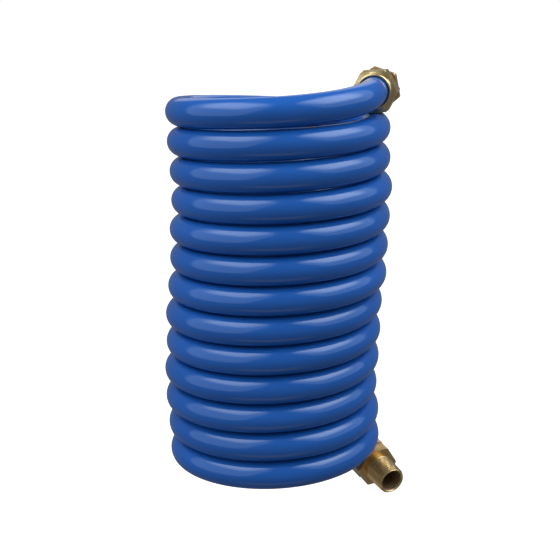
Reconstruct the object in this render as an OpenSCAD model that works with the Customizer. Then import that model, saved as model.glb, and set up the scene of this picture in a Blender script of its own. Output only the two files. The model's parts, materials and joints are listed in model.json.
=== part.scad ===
// Coiled air hose: a self-recoiling nylon hose with a rigid and a swivelling brass end.
// +Y runs along the inlet fitting and out of its mouth, +Z is up along the coil.
// The origin is on the inlet thread's axis, where the thread meets its hexagon.

/* [Hose] */
// Outside diameter of the hose
hose_od = 15.875; // [15.7:0.005:15.95]
// Bore of the hose
hose_id = 12.7; // [12.5:0.1:13]
// Diameter of the coil at the middle of the hose; the height of a turn follows from it
coil_d = 106.8; // [106.2:0.2:118]
// Gap where one modelled length of the hose ends and the next begins
cut_gap = 0.3; // [0.2:0.05:0.6]

/* [Hose ends] */
// How far the last half turn climbs to the inlet fitting
inlet_rise = 11.4; // [11.3:0.1:16]
// Straight hose from the coil to the inlet thread's shoulder
inlet_straight = 26.5; // [26:0.5:32]
// Angle of the coil at which the outlet end runs off straight
outlet_angle = 38; // [20:1:41]
// How far the outlet end dips below the plane of the last turn
outlet_dip = 7.7; // [7.2:0.1:12]
// Straight hose from the coil to the outlet thread's shoulder
outlet_straight = 28.2; // [28.2:0.2:45]

/* [Fittings] */
// Across the flats of the nuts and of the fitting bodies
hex_af = 22.2; // [21.4:0.1:22.4]
// Outside diameter of the 3/8-18 NPT male thread
thread_d = 17.145; // [17:0.005:17.3]
// Length of the male thread
thread_len = 16.4; // [14:0.2:18]
// Bore at the mouth of the thread
mouth_d = 12.4; // [10.4:0.1:13]
// Bore through the stem that holds the hose
stem_bore_d = 10; // [8:0.1:10.4]
// Length of a fitting body's hexagon
body_hex_len = 7; // [7:0.1:8]
// Length of a nut's hexagon
nut_len = 15.3; // [15.3:0.1:18]
// How far the inlet body's hexagon is turned from the nut's
body_twist = 18; // [5:1:20]

/* [Hidden] */

$fn = 96;
over = 0.5;                     // how far a cut runs past what it cuts

hose_r = hose_od / 2;
hose_bore_r = hose_id / 2;
coil_r = coil_d / 2;
turn_count = 12;                // whole turns between the two hose ends

// Each half turn is a half circle tilted by this angle. Its sine and its cosine, 0.99712, have
// five digits each, so that the half circles meet exactly.
half_tilt = asin(0.07584);
pitch = 4 * coil_r * sin(half_tilt);
half_width = coil_r * cos(half_tilt);
bridge = cut_gap;               // short straight that joins a turn's two half circles

// The last half turn is one tilted half circle that starts where the top turn ends
inlet_tilt = asin(inlet_rise / coil_d);
inlet_centre = [
    coil_r * cos(inlet_tilt) - half_width, -bridge / 2, turn_count * pitch + inlet_rise / 2
];
inlet_tangent = inlet_centre + [coil_r * cos(inlet_tilt), 0, inlet_rise / 2];
inlet_shoulder = inlet_tangent + [0, inlet_straight, 0];

// Inside a fitting, heights run outwards from the thread's shoulder
hose_end = -10.2;
body_back = -body_hex_len;
collar_r = 9.7;                 // thread that the nut screws onto
collar_back = -17;
pocket_r = 8.05;                // socket that the hose stands in
pocket_floor = -10;
stem_back = -23.5;
stem_root_r = 6.1;
barb_r = 6.45;                  // bites into the hose's bore
barb_len = 3.2;
barb_count = 3;
barb_hollow = 0.3;              // how far a barb falls below the stem's root
nut_front = -8.2;
nut_back = nut_front - nut_len;
nut_bore_r = 9.8;
nut_mouth_r = 8.15;
nut_cone_front = -18.5;
nut_cone_back = -22;
lip_r = 9.6;
lip_len = 1.5;
lip_round = 0.5;
hex_chamfer = 1.1;
hex_face_in = 0.2;              // a hexagon's round end face is this much inside its flats
corner_spare = 0.2;             // the turned outline of a hexagon stands this far off its corners
mouth_chamfer = 1;
mouth_floor = 2;                // where the mouth's bore meets the stem's in the inlet body
ferrule_r = 8;
ferrule_outer_r = 9.4;
ferrule_tip_r = 8.3;
ferrule_edge = [0.3, 0.5];      // its front edge, turned off by this radius and length
ferrule_band = 1.4;             // full radius as far back as this
ferrule_front = -17.3;
ferrule_back = -21.1;
ferrule_slit = 1.2;

// The swivel: a flange on the stem turns in a socket in the swivel body
socket_r = 8.6;
socket_floor = -0.5;
flange_r = 8.53;
flange_front = -1.3;
flange_back = -4.3;
neck_r = 7.2;
swivel_gap = 0.5;
swivel_twist = 5;               // how far its hexagon is turned from the nut's
ring_groove_r = 9.3;
ring_front = -4.75;
ring_len = 1;
ring_hole_r = 7.5;
ring_opening = 50;
ring_play = 0.05;               // between the snap ring and its groove, on each side
seal_r = 7.7;                   // radius to the middle of the O-ring's cord
seal_cord_r = 0.84;
seal_z = -2.8;
seal_groove_len = 2;
seal_play = 0.06;               // between the O-ring and its groove's floor
washer_front = -0.55;
washer_len = 0.5;
washer_play = 0.1;

BLUE = [0.11, 0.33, 0.65];
BRASS = [0.76, 0.64, 0.38];

// ---- Places ----

// From the coil's own frame (its axis is Z) to the part's frame
module in_part_frame() {
    translate(-inlet_shoulder) children();
}

// +Z points out of the inlet's mouth and 0 is at its shoulder
module at_inlet() {
    in_part_frame()
        translate(inlet_shoulder)
            rotate([-90, 0, 0]) children();
}

// The back of the coil below the bottom turn, where +X runs on towards the outlet
module at_coil_back() {
    translate([0, bridge / 2, -pitch / 4])
        rotate([0, half_tilt, 0])
            translate([0, coil_r, 0]) children();
}

// The plane of the outlet end's last stretch of coil
module in_outlet_plane() {
    at_coil_back()
        rotate([outlet_dip, 0, 0])
            translate([bridge, -coil_r, 0]) children();
}

// +Z points out of the outlet's mouth and 0 is at its shoulder
module at_outlet() {
    in_part_frame()
        in_outlet_plane()
            rotate([0, 0, outlet_angle])
                translate([coil_r, -outlet_straight, 0])
                    rotate([90, 0, 0]) children();
}

// ---- Hose ----

module hose_section() {
    difference() {
        circle(r = hose_r);
        circle(r = hose_bore_r);
    }
}

// A stretch of one circle of the coil, between two angles
module hose_arc(from, to) {
    rotate([0, 0, from])
        rotate_extrude(angle = to - from)
            translate([coil_r, 0]) hose_section();
}

// Straight hose along Z
module hose_straight(length) {
    linear_extrude(length) hose_section();
}

// One turn that climbs by one pitch: a half circle tilted one way, then one tilted the other.
// The second half is placed from the end of the first, so that the two meet exactly.
module hose_turn(number) {
    color(BLUE)
        in_part_frame()
            translate([0, -bridge / 2, (turn_count - number + 1 / 4) * pitch])
                rotate([0, -half_tilt, 0]) {
                    hose_arc(180, 360);
                    translate([coil_r, 0, 0])
                        rotate([-90, 0, 0]) hose_straight(bridge);
                    translate([coil_r, bridge, 0])
                        rotate([0, half_tilt, 0])
                            rotate([0, half_tilt, 0])
                                translate([-coil_r, 0, 0]) hose_arc(0, 180);
                }
}

module hose_upper_end() {
    color(BLUE)
        in_part_frame()
            translate(inlet_centre)
                rotate([0, -inlet_tilt, 0]) {
                    hose_arc(180, 360);
                    translate([coil_r, 0, 0])
                        rotate([-90, 0, 0]) hose_straight(inlet_straight + hose_end);
                }
}

// The quarter turn between the bottom turn and the lower end
module hose_quarter_turn() {
    color(BLUE)
        in_part_frame()
            at_coil_back()
                translate([0, -coil_r, 0]) hose_arc(90, 180);
}

module hose_lower_end() {
    color(BLUE) {
        in_part_frame()
            in_outlet_plane() hose_arc(outlet_angle, 90);
        at_outlet()
            translate([0, 0, -outlet_straight]) hose_straight(outlet_straight + hose_end);
    }
}

// ---- Fittings ----

// A ring between two radii and two heights
module ring(outer_r, inner_r, low, high) {
    translate([0, 0, low])
        difference() {
            cylinder(r = outer_r, h = high - low);
            translate([0, 0, -over]) cylinder(r = inner_r, h = high - low + 2 * over);
        }
}

// A hexagonal prism whose two ends are turned down to a chamfer
module chamfered_hex(low, high) {
    corner_r = hex_af / sqrt(3);
    face_r = hex_af / 2 - hex_face_in;
    outline_r = corner_r + corner_spare;
    intersection() {
        translate([0, 0, low]) cylinder(r = corner_r, h = high - low, $fn = 6);
        rotate_extrude()
            polygon([
                [0, low], [face_r, low], [outline_r, low + hex_chamfer],
                [outline_r, high - hex_chamfer], [face_r, high], [0, high]
            ]);
    }
}

// The male thread's outside, plain, with a chamfered mouth
module male_thread() {
    cylinder(d = thread_d, h = thread_len - mouth_chamfer);
    translate([0, 0, thread_len - mouth_chamfer])
        cylinder(h = mouth_chamfer, r1 = thread_d / 2, r2 = thread_d / 2 - mouth_chamfer);
}

// The collar that the nut screws onto, with the socket for the hose's end
module collar(front) {
    ring(collar_r, pocket_r, collar_back, pocket_floor);
    translate([0, 0, pocket_floor]) cylinder(r = collar_r, h = front - pocket_floor);
}

// The barbed stem inside the hose: each barb is sharp towards the fitting
module barbed_stem() {
    translate([0, 0, stem_back]) cylinder(r = stem_root_r, h = pocket_floor - stem_back);
    for (i = [0 : barb_count - 1])
        translate([0, 0, stem_back + i * barb_len])
            cylinder(h = barb_len, r1 = stem_root_r - barb_hollow, r2 = barb_r);
}

module stem_bore(front) {
    translate([0, 0, stem_back - over])
        cylinder(d = stem_bore_d, h = front - stem_back + 2 * over);
}

module mouth_bore(floor) {
    translate([0, 0, floor]) cylinder(d = mouth_d, h = thread_len - floor + over);
}

module inlet_body() {
    color(BRASS)
        at_inlet()
            difference() {
                union() {
                    male_thread();
                    rotate([0, 0, body_twist]) chamfered_hex(body_back, 0);
                    collar(body_back);
                    barbed_stem();
                }
                stem_bore(thread_len);
                mouth_bore(mouth_floor);
            }
}

// The nut's inside, from its thread to the cone that squeezes the ferrule
module nut_hollow() {
    rotate_extrude()
        polygon([
            [0, nut_front + over], [nut_bore_r, nut_front + over],
            [nut_bore_r, nut_cone_front], [nut_mouth_r, nut_cone_back],
            [nut_mouth_r, nut_back - lip_len - over], [0, nut_back - lip_len - over]
        ]);
}

// The rounded lip that stands out around the hose
module nut_lip() {
    translate([0, 0, nut_back - lip_len + lip_round])
        cylinder(r = lip_r, h = lip_len);
    translate([0, 0, nut_back - lip_len])
        cylinder(h = lip_round, r1 = lip_r - lip_round, r2 = lip_r);
}

module compression_nut() {
    color(BRASS)
        difference() {
            union() {
                chamfered_hex(nut_back, nut_front);
                nut_lip();
            }
            nut_hollow();
        }
}

// The split sleeve between the nut's cone and the hose
module ferrule() {
    color(BRASS)
        difference() {
            rotate_extrude()
                polygon([
                    [ferrule_r, ferrule_front],
                    [ferrule_outer_r - ferrule_edge[0], ferrule_front],
                    [ferrule_outer_r, ferrule_front - ferrule_edge[1]],
                    [ferrule_outer_r, ferrule_front - ferrule_band],
                    [ferrule_tip_r, ferrule_back],
                    [ferrule_r, ferrule_back]
                ]);
            translate([0, -ferrule_slit / 2, ferrule_back - over])
                cube([2 * ferrule_r, ferrule_slit, ferrule_front - ferrule_back + 2 * over]);
        }
}

module inlet_nut() {
    at_inlet() compression_nut();
}

module inlet_ferrule() {
    at_inlet() ferrule();
}

module outlet_nut() {
    at_outlet() compression_nut();
}

module outlet_ferrule() {
    at_outlet() ferrule();
}

// Collar and stem in one piece with the neck and flange that the swivel body turns on
module outlet_stem() {
    seal_groove_r = seal_r - seal_cord_r - seal_play;
    seal_groove_back = seal_z - seal_groove_len / 2;
    color(BRASS)
        at_outlet()
            difference() {
                union() {
                    translate([0, 0, flange_back])
                        cylinder(r = flange_r, h = flange_front - flange_back);
                    translate([0, 0, body_back - swivel_gap - over])
                        cylinder(r = neck_r, h = flange_back - body_back + swivel_gap + 2 * over);
                    collar(body_back - swivel_gap);
                    barbed_stem();
                }
                stem_bore(flange_front);
                ring(
                    flange_r + over, seal_groove_r,
                    seal_groove_back, seal_groove_back + seal_groove_len
                );
            }
}

// ---- Swivel ----

module swivel_body() {
    color(BRASS)
        at_outlet()
            difference() {
                union() {
                    male_thread();
                    rotate([0, 0, swivel_twist]) chamfered_hex(body_back, 0);
                }
                mouth_bore(socket_floor - over);
                translate([0, 0, body_back - over])
                    cylinder(r = socket_r, h = socket_floor - body_back + over);
                translate([0, 0, ring_front - ring_len - ring_play])
                    cylinder(r = ring_groove_r, h = ring_len + 2 * ring_play);
            }
}

module swivel_o_ring() {
    color([0.06, 0.06, 0.06])
        at_outlet()
            translate([0, 0, seal_z])
                rotate_extrude()
                    translate([seal_r, 0]) circle(r = seal_cord_r, $fn = 32);
}

module swivel_thrust_washer() {
    color([0.92, 0.92, 0.9])
        at_outlet()
            ring(
                socket_r - washer_play, mouth_d / 2 + washer_play,
                washer_front - washer_len, washer_front
            );
}

// A flat retaining ring that springs into the groove in the swivel body
module swivel_snap_ring() {
    color([0.55, 0.56, 0.58])
        at_outlet()
            translate([0, 0, ring_front - ring_len])
                rotate_extrude(angle = 360 - ring_opening)
                    translate([ring_hole_r, 0])
                        square([ring_groove_r - ring_play - ring_hole_r, ring_len]);
}

inlet_body();
inlet_nut();
inlet_ferrule();
hose_upper_end();
hose_turn(1);  // hose_turn_01
hose_turn(2);  // hose_turn_02
hose_turn(3);  // hose_turn_03
hose_turn(4);  // hose_turn_04
hose_turn(5);  // hose_turn_05
hose_turn(6);  // hose_turn_06
hose_turn(7);  // hose_turn_07
hose_turn(8);  // hose_turn_08
hose_turn(9);  // hose_turn_09
hose_turn(10);  // hose_turn_10
hose_turn(11);  // hose_turn_11
hose_turn(12);  // hose_turn_12
hose_quarter_turn();
hose_lower_end();
outlet_nut();
outlet_ferrule();
outlet_stem();
swivel_body();
swivel_o_ring();
swivel_thrust_washer();
swivel_snap_ring();
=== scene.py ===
# Coiled air hose: the looks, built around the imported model. Metres, in the model's own frame.
import json
import math

import bpy
import numpy as np
from mathutils import Matrix, Vector


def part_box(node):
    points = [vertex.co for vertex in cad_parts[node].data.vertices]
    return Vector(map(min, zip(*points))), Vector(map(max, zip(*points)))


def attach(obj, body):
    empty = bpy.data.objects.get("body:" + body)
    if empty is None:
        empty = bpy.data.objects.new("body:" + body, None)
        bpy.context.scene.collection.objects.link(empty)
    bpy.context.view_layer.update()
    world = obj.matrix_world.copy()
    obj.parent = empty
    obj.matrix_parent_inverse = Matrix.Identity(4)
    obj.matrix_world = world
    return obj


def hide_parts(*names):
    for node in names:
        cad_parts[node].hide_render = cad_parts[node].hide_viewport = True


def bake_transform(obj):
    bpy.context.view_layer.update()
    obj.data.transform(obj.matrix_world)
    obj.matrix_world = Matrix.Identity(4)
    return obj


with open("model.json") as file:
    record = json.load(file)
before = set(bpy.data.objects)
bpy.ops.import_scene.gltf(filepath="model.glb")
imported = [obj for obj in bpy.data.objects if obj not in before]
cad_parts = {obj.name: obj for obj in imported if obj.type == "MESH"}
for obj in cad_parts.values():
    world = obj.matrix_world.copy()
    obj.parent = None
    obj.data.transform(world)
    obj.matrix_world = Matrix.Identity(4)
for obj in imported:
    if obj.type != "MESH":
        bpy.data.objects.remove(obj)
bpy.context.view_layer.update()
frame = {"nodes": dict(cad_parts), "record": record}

MM = 0.001

# ---- Sizes of the object, as the model has them ----

HOSE_R = 7.9375 * MM
HOSE_BORE_R = 6.35 * MM
TURNS = 12                        # whole turns between the two ends of the hose
INLET_STRAIGHT = 26.5 * MM        # straight hose from the coil to each thread's shoulder
OUTLET_STRAIGHT = 28.2 * MM
HOSE_END = -10.2 * MM             # where the hose stops inside a fitting
OUTLET_ANGLE = 38.3               # degrees around the coil at which the outlet end runs straight
BOTTOM_ANGLE = 180.0              # where the bottom turn starts
TOP_ANGLE = BOTTOM_ANGLE + 360.0 * TURNS
INLET_ANGLE = TOP_ANGLE + 180.0   # where the inlet end runs straight

# The fittings, in mm along and around their axis. Places along it count from the thread's
# shoulder, forward to the mouth.
HEX_AF = 22.2                     # across the flats
HEX_LEN = 7.0
CORNER_R = HEX_AF / math.sqrt(3)
CROWN_R = CORNER_R - 0.45         # a small chamfer, just off the corners
CHAMFER = 0.35                    # its length along the axis
CHAMFER_CLEAR = 0.2               # how far outside the corners its slope ends
CHAMFER_GAP = 0.25                # from its last ring to the flats' first
RIM_INSET = 0.2                   # how far a hexagon's end face stays inside its rim
INLET_BODY_TWIST = 18.0           # degrees that each hexagon's corner is turned about the axis
INLET_NUT_TWIST = -3.0
SWIVEL_BODY_TWIST = 4.5
OUTLET_NUT_TWIST = 0.0
THREAD_R = 8.5725
THREAD_LEN = 16.4
THREAD_PITCH = 25.4 / 18
THREAD_TAPER = 1.0 / 32.0         # of the radius, along the thread
THREAD_DEPTH = 0.95
THREAD_CREST = 0.1                # shares of half a pitch: the flat on the crest
THREAD_FLANK = 0.78               # and the slope down to the root
NECK_LEN = 2.2                    # plain length before the thread's first ridge
RUNOUT_LEN = 1.2                  # over which the ridges then come in
SHOULDER_FILLET = 0.25
MOUTH_R = 6.2
MOUTH_DEPTH = 1.2                 # how far the drilled wall is followed in from the mouth
MOUTH_FACE_R = 7.25               # outer radius of the mouth's narrow face, inside a chamfer
MOUTH_FACE = 0.4                  # width of that face
STEM_BORE_R = 5.0
STEM_BORE = (2.0, 1.0)            # where the mouth narrows to the stem's bore
STEM_BACK = -23.5
STEM_ROOT_R = 6.1
STEM_TIP = 0.3                    # how much thinner the stem is at its tip
BARB_R = 6.45
BARB_LEN = 3.2
BARBS = 3
POCKET_R = 8.05
POCKET_FLOOR = -10.0
COLLAR_R = 9.7
COLLAR_BACK = -17.0
COLLAR_CHAMFER = 0.4
COLLAR_FILLET = 0.2
NUT_FRONT = -8.2
NUT_BACK = -23.5
NUT_BORE_R = 9.8
NUT_CONE = (-18.5, -22.0)         # where the bore narrows to the mouth that the hose passes through
NUT_CHAMFER = 0.3
NUT_MOUTH_R = 8.2
LIP_R = 9.6
LIP_LEN = 1.5
LIP_STEPS = 13
LIP_FILLET = 0.1                  # where the lip meets the hexagon
LIP_FILLET_SPAN = (0.6, 0.45)     # its two ends, behind the hexagon
SOCKET_R = 8.6
SOCKET_FLOOR = -0.5
SOCKET_RIM = 0.3
RING_GROOVE_R = 9.3
RING_GROOVE = (-5.8, -4.7)

turn_low, turn_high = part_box("hose_turn_06")
coil_axis = (turn_low + turn_high) / 2
top_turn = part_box("hose_turn_01")
bottom_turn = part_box("hose_turn_12")
PITCH = (top_turn[0].z - bottom_turn[0].z) / (TURNS - 1)
COIL_R = (turn_high.x - turn_low.x) / 2 - HOSE_R
BOTTOM_Z = bottom_turn[0].z + HOSE_R   # the hose's middle where the bottom turn starts


def mount(name):
    """Where a mount is, and which way it points."""
    row = next(m for m in frame["record"]["mounts"] if m["name"] == name)
    return Vector(row["pos_m"]), Vector(row["axis"]).normalized()


inlet_pos, inlet_axis = mount("inlet_thread")
outlet_pos, outlet_axis = mount("outlet_thread")


# ---- Camera ----

VIEW_AZIMUTH = 12.0               # degrees that the camera stands to the right of the inlet's axis
VIEW_TILT = 14.21                 # degrees that it looks down
VIEW_DISTANCE = 0.590             # from the coil's axis, measured level
VIEW_HEIGHT = 0.0432              # above the inlet's axis
VIEW_SHIFT = 0.00216              # to the right of the coil's axis
SENSOR_MM = 36.0
LENS_MM = 68.87


def add_camera():
    """The camera, level from side to side and looking a little down at the coil."""
    camera = bpy.data.cameras.new("camera")
    camera.sensor_width = SENSOR_MM
    camera.lens = LENS_MM
    camera.clip_start = 0.02
    camera.clip_end = 60.0
    obj = bpy.data.objects.new("camera", camera)
    bpy.context.scene.collection.objects.link(obj)
    azimuth = math.radians(VIEW_AZIMUTH)
    right = Vector((math.cos(azimuth), math.sin(azimuth), 0.0))
    ahead = Vector((-math.sin(azimuth), math.cos(azimuth), 0.0))
    middle = Vector((coil_axis.x, coil_axis.y, VIEW_HEIGHT))
    place = middle + right * VIEW_SHIFT - ahead * VIEW_DISTANCE
    tilt = Matrix.Rotation(math.radians(90.0 - VIEW_TILT), 4, "X")
    obj.matrix_world = Matrix.Translation(place) @ Matrix.Rotation(azimuth, 4, "Z") @ tilt
    bpy.context.scene.camera = obj


add_camera()


# ---- Mesh helpers ----

def link(name, mesh):
    """A new object in the scene with this mesh."""
    obj = bpy.data.objects.new(name, mesh)
    bpy.context.scene.collection.objects.link(obj)
    return obj


def ring_mesh(name, rings):
    """A closed skin from points shaped (rings, sides, 3): quads join neighbours, and the last
    ring joins the first."""
    count, sides = rings.shape[:2]
    index = np.arange(count * sides).reshape(count, sides)
    following = np.roll(index, -1, axis=0)
    quads = np.stack(
        [index, np.roll(index, -1, axis=1), np.roll(following, -1, axis=1), following], axis=-1
    )
    mesh = bpy.data.meshes.new(name)
    mesh.from_pydata(rings.reshape(-1, 3).tolist(), [], quads.reshape(-1, 4).tolist())
    return mesh


def store(mesh, name, values):
    """Keeps a number or a vector at each vertex, for the materials to read."""
    values = np.asarray(values, np.float32)
    kind, field = ("FLOAT", "value") if values.ndim == 1 else ("FLOAT_VECTOR", "vector")
    mesh.attributes.new(name, kind, "POINT").data.foreach_set(field, values.ravel())


def smooth_step(t):
    """From 0 to 1 as t does, level at both ends."""
    t = np.clip(t, 0.0, 1.0)
    return t * t * (3.0 - 2.0 * t)


# ---- The hose ----

STEPS_PER_TURN = 108
HOSE_SIDES = 40
HOSE_CREASE = 60.0                # degrees between faces from which an edge is drawn sharp
STRAIGHT_STEP = 2.5 * MM          # between rings where the hose runs straight
TAIL_START = 113.6                # degrees at which the outlet end starts to dip below the helix
TAIL_DROP = 3.6 * MM
LIFT_START = INLET_ANGLE - 88.0   # where the last turn starts to lift to the inlet
INLET_SLOPE = 0.13                # how steeply the hose climbs where it enters the inlet's nut
SETTLE = 0.25 * MM                # how far the top turn's far side has sunk onto the turn below
SETTLE_ANGLE = TOP_ANGLE - 90.0   # where it has sunk the most
SETTLE_REACH = 130.0              # degrees to each side over which it sinks
SWAY = 2.6 * MM                   # how far the stack of turns leans out of line, first one way
SWAY_TURNS = 12.9                 # and then the other over this many turns
RIPPLE = 0.5 * MM                 # how far single turns stand out of line, in a shorter wave
RIPPLE_TURNS = 2.7
RIPPLE_PHASE = 0.6
RIPPLE_END = 12.5                 # turns from the inlet at which the ripple has died away
OUTLET_JOIN = 120.0               # degrees over which the coil is drawn to each straight end
INLET_JOIN = 180.0
STRETCH_FROM = 0.1                # turns from the inlet at which the stretch starts
STRETCH_TO = 12.78                # and at which it has all been taken up
STRETCH_EASE = 0.5                # turns over which it comes in and goes out


def lifted_height(angle):
    """Height of the hose where it leaves the helix and climbs to the inlet."""
    span = INLET_ANGLE - LIFT_START
    t = np.clip((angle - LIFT_START) / span, 0.0, 1.0)
    start = (LIFT_START - BOTTOM_ANGLE) / 360.0 * PITCH
    rise = inlet_pos.z - BOTTOM_Z - start
    first_slope = PITCH / 360.0 * span
    last_slope = INLET_SLOPE * COIL_R * math.radians(span)
    climb = rise * (3 * t ** 2 - 2 * t ** 3)
    return start + climb + first_slope * (t ** 3 - 2 * t ** 2 + t) + last_slope * (t ** 3 - t ** 2)


def hose_height(angle):
    """Height of the hose's middle above its middle at BOTTOM_ANGLE."""
    level = (angle - BOTTOM_ANGLE) / 360.0 * PITCH
    dip = np.clip((TAIL_START - angle) / (TAIL_START - OUTLET_ANGLE), 0.0, None)
    settled = smooth_step(1.0 - np.abs(angle - SETTLE_ANGLE) / SETTLE_REACH)
    level = level - TAIL_DROP * dip ** 2 - SETTLE * settled
    return np.where(angle > LIFT_START, lifted_height(angle), level)


def coil_point(angle):
    """Middle of the hose at angles around the coil, before its two ends are fitted."""
    radians = np.radians(angle)
    turn = (INLET_ANGLE - angle) / 360.0
    sway = SWAY * np.sin(2 * np.pi * turn / SWAY_TURNS)
    ripple = RIPPLE * np.sin(2 * np.pi * turn / RIPPLE_TURNS + RIPPLE_PHASE)
    lean = sway + ripple * smooth_step(turn) * smooth_step(RIPPLE_END - turn)
    view = math.radians(VIEW_AZIMUTH)
    x = coil_axis.x + COIL_R * np.cos(radians) + lean * math.cos(view)
    y = coil_axis.y + COIL_R * np.sin(radians) + lean * math.sin(view)
    return np.stack([x, y, BOTTOM_Z + hose_height(angle)], axis=-1)


def straight_points(start, axis, length):
    """Points after start, evenly along a straight run."""
    count = int(length / STRAIGHT_STEP)
    ways = np.arange(1, count + 1) * (length / count)
    return start + ways[:, None] * np.array(axis)


def hose_centres():
    """The hose's whole middle line, from inside the outlet to inside the inlet, with its angles."""
    count = int(round((INLET_ANGLE - OUTLET_ANGLE) / 360.0 * STEPS_PER_TURN))
    angles = np.linspace(OUTLET_ANGLE, INLET_ANGLE, count + 1)
    coil = coil_point(angles)
    outlet_start = np.array(outlet_pos - outlet_axis * OUTLET_STRAIGHT)
    inlet_start = np.array(inlet_pos - inlet_axis * INLET_STRAIGHT)
    near_outlet = smooth_step(1.0 - (angles - OUTLET_ANGLE) / OUTLET_JOIN)[:, None]
    near_inlet = smooth_step(1.0 - (INLET_ANGLE - angles) / INLET_JOIN)[:, None]
    coil = coil + near_outlet * (outlet_start - coil[0]) + near_inlet * (inlet_start - coil[-1])
    tail = straight_points(outlet_start, outlet_axis, OUTLET_STRAIGHT + HOSE_END)[::-1]
    head = straight_points(inlet_start, inlet_axis, INLET_STRAIGHT + HOSE_END)
    line = np.concatenate([tail, coil, head])
    all_angles = np.concatenate([
        np.full(len(tail), OUTLET_ANGLE), angles, np.full(len(head), INLET_ANGLE)
    ])
    return line, all_angles


def build_hose():
    """The hose, its middle line, its length and how much of the stretch each vertex takes."""
    line, angles = hose_centres()
    ahead = np.gradient(line, axis=0)
    ahead /= np.linalg.norm(ahead, axis=1)[:, None]
    side = np.cross(ahead, [0.0, 0.0, 1.0])
    side /= np.linalg.norm(side, axis=1)[:, None]
    up = np.cross(side, ahead)
    around = np.linspace(0.0, 2 * np.pi, HOSE_SIDES, endpoint=False)
    across, upward = np.cos(around)[None, :, None], np.sin(around)[None, :, None]
    spokes = side[:, None] * across + up[:, None] * upward
    outside = line[:, None] + HOSE_R * spokes
    inside = line[:, None] + HOSE_BORE_R * spokes
    # Out along the wall and back along the bore, so that the tube is one closed skin
    mesh = ring_mesh("hose", np.concatenate([outside, inside[::-1]]))
    along = np.concatenate([[0.0], np.cumsum(np.linalg.norm(np.diff(line, axis=0), axis=1))])
    place = np.empty(outside.shape)
    place[..., 0] = along[:, None]
    place[..., 1] = HOSE_R * np.cos(around)
    place[..., 2] = HOSE_R * np.sin(around)
    store(mesh, "place", np.concatenate([place, place[::-1]]).reshape(-1, 3))
    mesh.shade_smooth()
    mesh.set_sharp_from_angle(angle=math.radians(HOSE_CREASE))
    stretch = stretch_share(angles)
    shares = np.repeat(np.concatenate([stretch, stretch[::-1]]), HOSE_SIDES)
    return link("hose", mesh), line, along[-1], shares


def stretch_share(angles):
    """How much of the coil's stretch each ring takes: even along the turns, 0 or 1 at the ends."""
    turn = (INLET_ANGLE - angles) / 360.0
    span = STRETCH_TO - STRETCH_FROM
    t = np.clip((turn - STRETCH_FROM) / span, 0.0, 1.0)
    ease = STRETCH_EASE / span
    slope = 1.0 / (1.0 - ease)
    start = slope * t ** 2 / (2 * ease)
    middle = slope * (t - ease / 2)
    end = 1.0 - slope * (1 - t) ** 2 / (2 * ease)
    return np.where(t < ease, start, np.where(t > 1 - ease, end, middle))


hose, hose_line, hose_length, hose_share = build_hose()


# ---- Turned and hexagonal brass pieces ----

# Each vertex keeps an edge value: how much its colour is brightened, from 0 to 1, or BORE. The
# brightening is partly wear and partly a painted highlight, and on the thread's crests a painted
# highlight alone.
BORE = -1.0                       # where a surface is drilled and dull
BORE_END = -0.2                   # the value from which it has the outside's full shine
RIM_WEAR_AND_HIGHLIGHT = 0.2
LIP_WEAR_AND_HIGHLIGHT = 0.55
# The crests' value is a painted highlight
CREST_HIGHLIGHT = 0.85
FACE_WEAR_AND_HIGHLIGHT = 0.8
CUT_WEAR_AND_HIGHLIGHT = 0.8                    # where a chamfer cuts a flat
CUT_WIDTH = 0.22
CORNER_FROM = 1.1                 # shares of half the width across the flats: the corners' wear and painted highlight start there, and come in over this
CORNER_FADE = 0.05                # starts there, and comes in over this
CORNER_PAST = 0.3                 # how far past the chamfer it still shows
PIECE_SIDES = 240                 # a corner of each hexagon falls on one of them
PIECE_CREASE = 38.0               # degrees between faces from which an edge is drawn sharp
CORNER_POWER = 320.0              # the higher, the sharper a hexagon's corners
TEXTURE_RADIUS = 0.01             # turns an angle into a length, for the textures
CHAMFER_RINGS = 8
FLAT_RINGS = 5
RINGS_PER_PITCH = 16


def hex_radius(around, corner_angle):
    """Radius of a hexagon with slightly rounded corners, at angles around its axis."""
    flats = np.radians(corner_angle + 30.0 + 60.0 * np.arange(6))
    reach = np.clip(np.cos(around[:, None] - flats[None, :]), 0.0, None)
    return HEX_AF / 2 / (reach ** CORNER_POWER).sum(axis=1) ** (1 / CORNER_POWER)


def soft_min(a, b, width=0.05):
    """The smaller of two radii, rounded over about width where they meet."""
    low = np.minimum(a, b)
    return low - width * np.log(np.exp(-(a - low) / width) + np.exp(-(b - low) / width))


class Profile:
    """Rings of a piece made on a lathe or a mill, listed in order along its outline, in mm."""

    def __init__(self):
        self.around = np.linspace(0.0, 2 * np.pi, PIECE_SIDES, endpoint=False)
        self.heights = []
        self.radii = []
        self.edges = []

    def add(self, height, radius, edge=0.0):
        for rows, value in ((self.heights, height), (self.radii, radius), (self.edges, edge)):
            rows.append(np.broadcast_to(np.asarray(value, float), self.around.shape))

    def line(self, points, edge=0.0):
        for height, radius in points:
            self.add(height, radius, edge)

    def build(self, name, origin, axis, across):
        """The mesh in the model's frame: across is the direction of the angle 0."""
        heights, radii = np.array(self.heights) * MM, np.array(self.radii) * MM
        axis, across = np.array(axis), np.array(across)
        third = np.cross(axis, across)
        spokes = np.cos(self.around)[:, None] * across + np.sin(self.around)[:, None] * third
        points = np.array(origin) + heights[..., None] * axis + radii[..., None] * spokes[None]
        mesh = ring_mesh(name, points)
        arcs = np.broadcast_to(self.around * TEXTURE_RADIUS, heights.shape)
        place = np.stack([heights, radii, arcs], axis=-1)
        store(mesh, "place", place.reshape(-1, 3))
        store(mesh, "edge", np.array(self.edges).ravel())
        mesh.shade_smooth()
        mesh.set_sharp_from_angle(angle=math.radians(PIECE_CREASE))
        return link(name, mesh)


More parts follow.
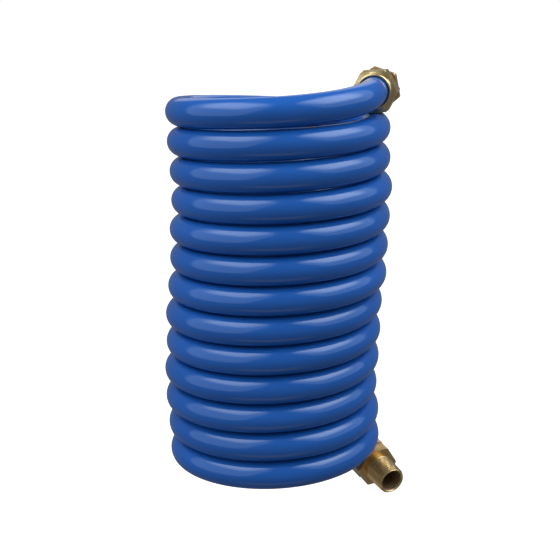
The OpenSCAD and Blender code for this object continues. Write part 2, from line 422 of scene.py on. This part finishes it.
def add_hexagon(profile, back, front, corner_angle):
    """The six flats between two heights, with both ends turned down to a round chamfer."""
    flats = hex_radius(profile.around, corner_angle)
    levels = np.concatenate([
        np.linspace(0.0, CHAMFER, CHAMFER_RINGS),
        np.linspace(CHAMFER + CHAMFER_GAP, (front - back) / 2, FLAT_RINGS),
    ])
    heights = [back + level for level in levels] + [front - level for level in levels[::-1]]
    # Rims, corners and chamfer cuts are brightened: wear and a painted highlight
    corner = smooth_step((flats / (HEX_AF / 2) - CORNER_FROM) / CORNER_FADE)
    slope = (CORNER_R + CHAMFER_CLEAR - CROWN_R) / CHAMFER
    rim = np.minimum(flats, CROWN_R) - RIM_INSET
    profile.add(back, rim, RIM_WEAR_AND_HIGHLIGHT)
    for height in heights:
        crown = CROWN_R + slope * min(height - back, front - height)
        radius = soft_min(flats, np.full_like(flats, crown))
        cut = np.exp(-((flats - crown) / CUT_WIDTH) ** 2)
        wear_and_highlight = np.maximum(corner * (flats < crown + CORNER_PAST), CUT_WEAR_AND_HIGHLIGHT * cut)
        profile.add(height, radius, np.clip(wear_and_highlight, 0, 1))
    profile.add(front, rim, RIM_WEAR_AND_HIGHLIGHT)


def add_thread(profile):
    """A right-handed taper thread from the shoulder to the mouth, then the mouth's face."""
    profile.line([(0.0, THREAD_R + SHOULDER_FILLET)])
    count = int(THREAD_LEN / THREAD_PITCH * RINGS_PER_PITCH)
    for height in np.linspace(0.0, THREAD_LEN, count):
        phase = (height / THREAD_PITCH - profile.around / (2 * np.pi)) % 1.0
        cut = np.clip((np.abs(2 * phase - 1.0) - THREAD_CREST) / THREAD_FLANK, 0.0, 1.0)
        runout = smooth_step((height - NECK_LEN) / RUNOUT_LEN)
        radius = THREAD_R - THREAD_TAPER * height - THREAD_DEPTH * cut * runout
        radius = np.minimum(radius, MOUTH_FACE_R + (THREAD_LEN - height))
        # The crests get a painted highlight
        profile.add(height, radius, np.where(cut < 0.05, CREST_HIGHLIGHT, 0.0) * runout)
    face_inner_r = MOUTH_FACE_R - MOUTH_FACE
    # The mouth's face is brightened: wear and a painted highlight
    profile.line([(THREAD_LEN, face_inner_r)], edge=FACE_WEAR_AND_HIGHLIGHT)
    chamfer_end = THREAD_LEN - (face_inner_r - MOUTH_R)
    profile.line([(chamfer_end, MOUTH_R), (THREAD_LEN - MOUTH_DEPTH, MOUTH_R)], edge=BORE)


def add_barbed_stem(profile):
    """Outside of the stem, from its tip forward to the pocket's floor."""
    for i in range(BARBS):
        back = STEM_BACK + i * BARB_LEN
        front = back + BARB_LEN
        profile.line([(back, STEM_ROOT_R - STEM_TIP), (front, BARB_R), (front, STEM_ROOT_R)])
    profile.line([(POCKET_FLOOR, STEM_ROOT_R)])


def build_inlet_body(across):
    """Hexagon, thread, collar and barbed stem in one."""
    profile = Profile()
    profile.line([
        (POCKET_FLOOR, POCKET_R),
        (COLLAR_BACK, POCKET_R),
        (COLLAR_BACK, COLLAR_R - COLLAR_CHAMFER),
        (COLLAR_BACK + COLLAR_CHAMFER, COLLAR_R),
        (-HEX_LEN - COLLAR_FILLET, COLLAR_R),
        (-HEX_LEN, COLLAR_R + COLLAR_FILLET),
    ])
    add_hexagon(profile, -HEX_LEN, 0.0, INLET_BODY_TWIST)
    add_thread(profile)
    wide, narrow = STEM_BORE
    profile.line([(wide, MOUTH_R), (narrow, STEM_BORE_R), (STEM_BACK, STEM_BORE_R)], edge=BORE)
    add_barbed_stem(profile)
    return profile.build("inlet_body_detail", inlet_pos, inlet_axis, across)


def build_swivel_body(across):
    """Hexagon and thread in one, drilled from behind for the flange that it turns on."""
    profile = Profile()
    profile.line([(-HEX_LEN, SOCKET_R), (-HEX_LEN, SOCKET_R + SOCKET_RIM)])
    add_hexagon(profile, -HEX_LEN, 0.0, SWIVEL_BODY_TWIST)
    add_thread(profile)
    profile.line([(SOCKET_FLOOR, MOUTH_R), (SOCKET_FLOOR, SOCKET_R)], edge=BORE)
    back, front = RING_GROOVE
    profile.line([
        (front, SOCKET_R), (front, RING_GROOVE_R), (back, RING_GROOVE_R), (back, SOCKET_R)
    ])
    return profile.build("swivel_body_detail", outlet_pos, outlet_axis, across)


def build_nut(name, origin, axis, across, corner_angle):
    """The compression nut: a hexagon with a rounded lip around the hose."""
    profile = Profile()
    lip_end = NUT_BACK - LIP_LEN
    middle_r = (LIP_R + NUT_MOUTH_R) / 2
    half = (LIP_R - NUT_MOUTH_R) / 2
    profile.line([(NUT_CONE[0], NUT_BORE_R), (NUT_CONE[1], NUT_MOUTH_R)])
    # The lip is brightened: wear and a painted highlight
    for angle in np.linspace(0.0, math.pi, LIP_STEPS):
        height = lip_end + half - half * math.sin(angle)
        profile.add(height, middle_r - half * math.cos(angle), LIP_WEAR_AND_HIGHLIGHT)
    far, near = LIP_FILLET_SPAN
    profile.line([(NUT_BACK - far, LIP_R), (NUT_BACK - near, LIP_R + LIP_FILLET)])
    add_hexagon(profile, NUT_BACK, NUT_FRONT, corner_angle)
    profile.line([(NUT_FRONT, NUT_BORE_R + NUT_CHAMFER), (NUT_FRONT - NUT_CHAMFER, NUT_BORE_R)])
    return profile.build(name, origin, axis, across)


inlet_across = Vector((1, 0, 0))
outlet_across = Vector((0, 0, 1)).cross(outlet_axis).normalized()
inlet_body = build_inlet_body(inlet_across)
inlet_nut = build_nut(
    "inlet_nut_detail", inlet_pos, inlet_axis, inlet_across, INLET_NUT_TWIST
)
outlet_nut = build_nut(
    "outlet_nut_detail", outlet_pos, outlet_axis, outlet_across, OUTLET_NUT_TWIST
)
swivel_body = build_swivel_body(outlet_across)


# ---- Materials ----

MIX_SHARE, MIX_A, MIX_B, MIX_RESULT = 0, 6, 7, 2   # a mix node's sockets for colours


def set_range(node, low, high, to_low, to_high):
    """Sets a Map Range node's four limits."""
    keys = ("From Min", "From Max", "To Min", "To Max")
    for key, number in zip(keys, (low, high, to_low, to_high)):
        node.inputs[key].default_value = number


class Nodes:
    """A material's node tree, with short calls for the nodes used here."""

    def __init__(self, name):
        self.material = bpy.data.materials.new(name)
        self.material.use_nodes = True
        self.tree = self.material.node_tree
        self.shader = self.tree.nodes["Principled BSDF"]

    def new(self, kind, **settings):
        node = self.tree.nodes.new(kind)
        for key, value in settings.items():
            setattr(node, key, value)
        return node

    def join(self, source, target):
        self.tree.links.new(source, target)

    def set(self, **values):
        for key, value in values.items():
            self.shader.inputs[key.replace("_", " ")].default_value = value

    def place(self, scale):
        """The piece's own coordinates, stretched by scale along each of them."""
        source = self.new("ShaderNodeAttribute", attribute_name="place")
        mapping = self.new("ShaderNodeMapping")
        mapping.inputs["Scale"].default_value = scale
        self.join(source.outputs["Vector"], mapping.inputs["Vector"])
        return mapping.outputs["Vector"]

    def noise(self, vector, scale=1.0, detail=3.0, roughness=0.5):
        node = self.new("ShaderNodeTexNoise")
        node.inputs["Scale"].default_value = scale
        node.inputs["Detail"].default_value = detail
        node.inputs["Roughness"].default_value = roughness
        self.join(vector, node.inputs["Vector"])
        return node.outputs["Fac"]

    def ramp(self, value, stops):
        node = self.new("ShaderNodeValToRGB")
        elements = node.color_ramp.elements
        for i, (position, colour) in enumerate(stops):
            element = elements[i] if i < 2 else elements.new(position)
            element.position = position
            element.color = (*colour, 1.0)
        self.join(value, node.inputs["Fac"])
        return node.outputs["Color"]

    def range(self, value, low, high, to_low, to_high):
        node = self.new("ShaderNodeMapRange")
        set_range(node, low, high, to_low, to_high)
        self.join(value, node.inputs["Value"])
        return node.outputs["Result"]

    def mix(self, share, first, second):
        node = self.new("ShaderNodeMix", data_type="RGBA")
        for value, key in ((first, MIX_A), (second, MIX_B)):
            if isinstance(value, tuple):
                node.inputs[key].default_value = (*value, 1.0)
            else:
                self.join(value, node.inputs[key])
        self.join(share, node.inputs[MIX_SHARE])
        return node.outputs[MIX_RESULT]

    def bump(self, height, strength, distance, below=None):
        node = self.new("ShaderNodeBump")
        node.inputs["Strength"].default_value = strength
        node.inputs["Distance"].default_value = distance
        self.join(height, node.inputs["Height"])
        if below is not None:
            self.join(below, node.inputs["Normal"])
        return node.outputs["Normal"]


NYLON_LOW = (0.012, 0.095, 0.365)
NYLON_HIGH = (0.016, 0.112, 0.415)
NYLON_SPECK = (0.006, 0.02, 0.07)
NYLON_IOR = 1.53
NYLON_ROUGHNESS = 0.13            # the mean of what the nodes give
BRASS_DARK = (0.68, 0.43, 0.17)
BRASS_MIDDLE = (0.74, 0.49, 0.21)
BRASS_LIGHT = (0.8, 0.55, 0.26)
# Brighter colour at edges: wear, and a painted highlight
BRASS_WEAR_AND_HIGHLIGHT = (0.96, 0.76, 0.46)
BRASS_BORE = (0.36, 0.22, 0.11)


def hose_material():
    """Glossy royal-blue nylon, with faint drawing marks along it and small dark specks."""
    m = Nodes("hose_nylon")
    m.set(IOR=NYLON_IOR, Roughness=NYLON_ROUGHNESS)
    tone = m.noise(m.place((8.0, 60.0, 60.0)), detail=4.0)
    base = m.ramp(tone, [(0.3, NYLON_LOW), (0.7, NYLON_HIGH)])
    specks = m.noise(m.place((900.0, 900.0, 900.0)), detail=1.0)
    speck = m.range(specks, 0.77, 0.8, 0.0, 0.75)
    m.join(m.mix(speck, base, NYLON_SPECK), m.shader.inputs["Base Color"])
    haze = m.noise(m.place((40.0, 260.0, 260.0)), detail=5.0)
    m.join(m.range(haze, 0.3, 0.75, 0.1, 0.17), m.shader.inputs["Roughness"])
    wave = m.noise(m.place((60.0, 90.0, 90.0)), detail=1.0)
    waves = m.bump(wave, strength=0.12, distance=0.0006)
    marks = m.noise(m.place((25.0, 1400.0, 1400.0)), detail=2.0)
    relief = m.bump(marks, strength=0.06, distance=0.00006, below=waves)
    m.join(relief, m.shader.inputs["Normal"])
    return m.material


def brass_material():
    """Machined brass: turning marks around the axis, edges brightened by wear and a painted
    highlight (a painted highlight alone on the thread's crests), duller bores.
    """
    m = Nodes("machined_brass")
    patina = m.noise(m.place((220.0, 220.0, 260.0)), detail=5.0, roughness=0.6)
    base = m.ramp(patina, [(0.3, BRASS_DARK), (0.55, BRASS_MIDDLE), (0.8, BRASS_LIGHT)])
    # The edge value brightens the colour: partly wear, partly a painted highlight
    edge = m.new("ShaderNodeAttribute", attribute_name="edge").outputs["Fac"]
    broken = m.noise(m.place((600.0, 600.0, 900.0)))
    wear_and_highlight = m.new("ShaderNodeMath", operation="MULTIPLY")
    m.join(edge, wear_and_highlight.inputs[0])
    m.join(m.range(broken, 0.3, 0.6, 0.2, 1.0), wear_and_highlight.inputs[1])
    outside = m.mix(wear_and_highlight.outputs[0], base, BRASS_WEAR_AND_HIGHLIGHT)
    bore = m.range(edge, BORE, BORE_END, 1.0, 0.0)
    m.join(m.mix(bore, outside, BRASS_BORE), m.shader.inputs["Base Color"])
    m.join(m.range(edge, BORE, BORE_END, 0.35, 1.0), m.shader.inputs["Metallic"])
    rough = m.noise(m.place((900.0, 900.0, 60.0)), detail=4.0)
    m.join(m.range(rough, 0.3, 0.7, 0.26, 0.34), m.shader.inputs["Roughness"])
    turning = m.noise(m.place((5200.0, 5200.0, 25.0)), detail=2.0)
    m.join(m.bump(turning, strength=0.25, distance=0.00003), m.shader.inputs["Normal"])
    return m.material


def plain_material(name, low, high, roughness, metallic=0.0):
    """For the small pieces inside the fittings: a mottled colour and a slightly uneven surface."""
    m = Nodes(name)
    m.set(Metallic=metallic, Roughness=roughness)
    place = m.new("ShaderNodeTexCoord").outputs["Object"]
    mottle = m.noise(place, scale=900.0, detail=4.0)
    m.join(m.ramp(mottle, [(0.3, low), (0.7, high)]), m.shader.inputs["Base Color"])
    uneven = m.range(mottle, 0.3, 0.7, roughness - 0.06, roughness + 0.06)
    m.join(uneven, m.shader.inputs["Roughness"])
    m.join(m.bump(mottle, strength=0.1, distance=0.00003), m.shader.inputs["Normal"])
    return m.material


def dress(obj, material):
    """Gives an object one material in place of any it has."""
    obj.data.materials.clear()
    obj.data.materials.append(material)


brass = brass_material()
inner_brass = plain_material("inner_brass", (0.6, 0.4, 0.17), (0.72, 0.5, 0.24), 0.32, 1.0)
rubber = plain_material("black_rubber", (0.012, 0.012, 0.012), (0.025, 0.025, 0.024), 0.6)
washer_plastic = plain_material("white_plastic", (0.78, 0.78, 0.74), (0.86, 0.86, 0.83), 0.45)
spring_steel = plain_material("spring_steel", (0.33, 0.34, 0.36), (0.45, 0.46, 0.48), 0.35, 1.0)

dress(hose, hose_material())
for piece in (inlet_body, inlet_nut, outlet_nut, swivel_body):
    dress(piece, brass)
for node in ("inlet_ferrule", "outlet_ferrule", "outlet_stem"):
    dress(frame["nodes"][node], inner_brass)
dress(frame["nodes"]["swivel_o_ring"], rubber)
dress(frame["nodes"]["swivel_thrust_washer"], washer_plastic)
dress(frame["nodes"]["swivel_snap_ring"], spring_steel)


# ---- What rides on what ----

hose_nodes = [name for name in frame["nodes"] if name.startswith("hose_")]
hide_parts(*hose_nodes)
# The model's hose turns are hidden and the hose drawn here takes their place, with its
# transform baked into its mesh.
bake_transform(hose)

for piece, node, body in (
    (inlet_body, "inlet_body", "upper_end"),
    (inlet_nut, "inlet_nut", "upper_end"),
    (outlet_nut, "outlet_nut", "lower_end"),
    (swivel_body, "swivel_body", "swivel"),
):
    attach(piece, body)
    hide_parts(node)


# ---- Floor, background and light ----

FLOOR_Z = -1.4                    # below the lower end when the coil is pulled right out
FLOOR_REACH = 30.0                # half the floor's width
CENTRE = Vector((coil_axis.x, coil_axis.y, (inlet_pos.z + BOTTOM_Z) / 2))
WORLD_LIT = (0.85, 0.92, 1.0)
WORLD_STRENGTH = 0.18
COOL = (0.64, 0.83, 1.0)
PALE = (0.82, 0.92, 1.0)
WHITE = (1.0, 1.0, 1.0)
# Azimuth and elevation in degrees, distance and size in metres, power in watts. Flat is the share
# of a light's reach that shines in full, before it fades to the rim.
LIGHTS = (
    # name, azimuth, elevation, distance, width, height, power, flat, tint
    ("soft_box_left", -64.0, 31.0, 1.25, 2.2, 2.1, 15.0, 0.8, COOL),
    ("lamp_left", -66.0, 55.0, 1.1, 1.3, 1.0, 12.0, 0.0, PALE),
    ("soft_box_right", 79.0, 41.0, 1.25, 1.9, 1.7, 11.5, 0.8, COOL),
    ("lamp_right", 76.0, 52.0, 1.1, 1.2, 1.0, 14.0, 0.0, PALE),
    ("bounce_below", 0.0, -62.0, 1.2, 1.6, 0.5, 0.8, 0.0, WHITE),
    ("back", 184.0, 30.0, 1.4, 1.3, 0.7, 2.0, 0.5, WHITE),
)


def add_floor():
    """A pale floor that glows, so that it takes no shadow and shows in no reflection."""
    mesh = bpy.data.meshes.new("floor")
    signs = ((-1, -1), (1, -1), (1, 1), (-1, 1))
    corners = [(x * FLOOR_REACH, y * FLOOR_REACH, FLOOR_Z) for x, y in signs]
    mesh.from_pydata(corners, [], [(0, 1, 2, 3)])
    floor = link("floor", mesh)
    m = Nodes("pale_floor")
    m.set(Roughness=0.9, Specular_IOR_Level=0.0)
    place = m.new("ShaderNodeTexCoord").outputs["Object"]
    tone = m.noise(place, scale=3.0, detail=2.0)
    colour = m.ramp(tone, [(0.3, (0.9, 0.9, 0.9)), (0.7, (0.94, 0.94, 0.94))])
    m.join(colour, m.shader.inputs["Base Color"])
    m.set(Emission_Color=(*WHITE, 1.0), Emission_Strength=1.1)
    dress(floor, m.material)
    floor.visible_diffuse = False
    floor.visible_glossy = False


def add_world():
    """Plain white behind the object, and a little pale blue light from all around."""
    world = bpy.data.worlds.new("world")
    world.use_nodes = True
    bpy.context.scene.world = world
    tree = world.node_tree
    lit = tree.nodes["Background"]
    lit.inputs["Color"].default_value = (*WORLD_LIT, 1.0)
    lit.inputs["Strength"].default_value = WORLD_STRENGTH
    seen = tree.nodes.new("ShaderNodeBackground")
    seen.inputs["Color"].default_value = (*WHITE, 1.0)
    seen.inputs["Strength"].default_value = 1.0
    path = tree.nodes.new("ShaderNodeLightPath")
    choose = tree.nodes.new("ShaderNodeMixShader")
    tree.links.new(path.outputs["Is Camera Ray"], choose.inputs[0])
    tree.links.new(lit.outputs[0], choose.inputs[1])
    tree.links.new(seen.outputs[0], choose.inputs[2])
    tree.links.new(choose.outputs[0], tree.nodes["World Output"].inputs["Surface"])


def shape_face(light, flat):
    """Rounds a light's corners and fades its face from flat (a share of its reach) to the rim."""
    light.use_nodes = True
    tree = light.node_tree
    face = tree.nodes.new("ShaderNodeNewGeometry")
    centred, squared, reach = (tree.nodes.new("ShaderNodeVectorMath") for _ in range(3))
    centred.operation = "MULTIPLY_ADD"                     # -1 to 1 across the face
    centred.inputs[1].default_value = (2.0, 2.0, 0.0)
    centred.inputs[2].default_value = (-1.0, -1.0, 0.0)
    tree.links.new(face.outputs["Parametric"], centred.inputs[0])
    squared.operation = "MULTIPLY"                         # squared, so that its length is
    tree.links.new(centred.outputs["Vector"], squared.inputs[0])
    tree.links.new(centred.outputs["Vector"], squared.inputs[1])
    reach.operation = "LENGTH"                             # even along a rounded rectangle
    tree.links.new(squared.outputs["Vector"], reach.inputs[0])
    fade = tree.nodes.new("ShaderNodeMapRange")
    fade.interpolation_type = "SMOOTHSTEP"
    set_range(fade, flat, 1.0, 1.0, 0.0)
    tree.links.new(reach.outputs["Value"], fade.inputs["Value"])
    tree.links.new(fade.outputs["Result"], tree.nodes["Emission"].inputs["Strength"])


def add_light(name, azimuth, elevation, distance, width, height, power, flat, tint):
    """A soft light that faces the object: azimuth is degrees to the right of the camera."""
    light = bpy.data.lights.new(name, "AREA")
    light.shape = "RECTANGLE"
    light.size = width
    light.size_y = height
    light.energy = power
    light.color = tint
    shape_face(light, flat)
    obj = bpy.data.objects.new(name, light)
    bpy.context.scene.collection.objects.link(obj)
    angle = math.radians(azimuth + VIEW_AZIMUTH)
    rise = math.radians(elevation)
    level = math.cos(rise)
    way = Vector((math.sin(angle) * level, -math.cos(angle) * level, math.sin(rise)))
    obj.location = CENTRE + way * distance
    obj.rotation_euler = way.to_track_quat("Z", "Y").to_euler()
    obj.visible_camera = False


add_floor()
add_world()
for light in LIGHTS:
    add_light(*light)
# The colours set above are the colours shown
bpy.context.scene.view_settings.view_transform = "Standard"
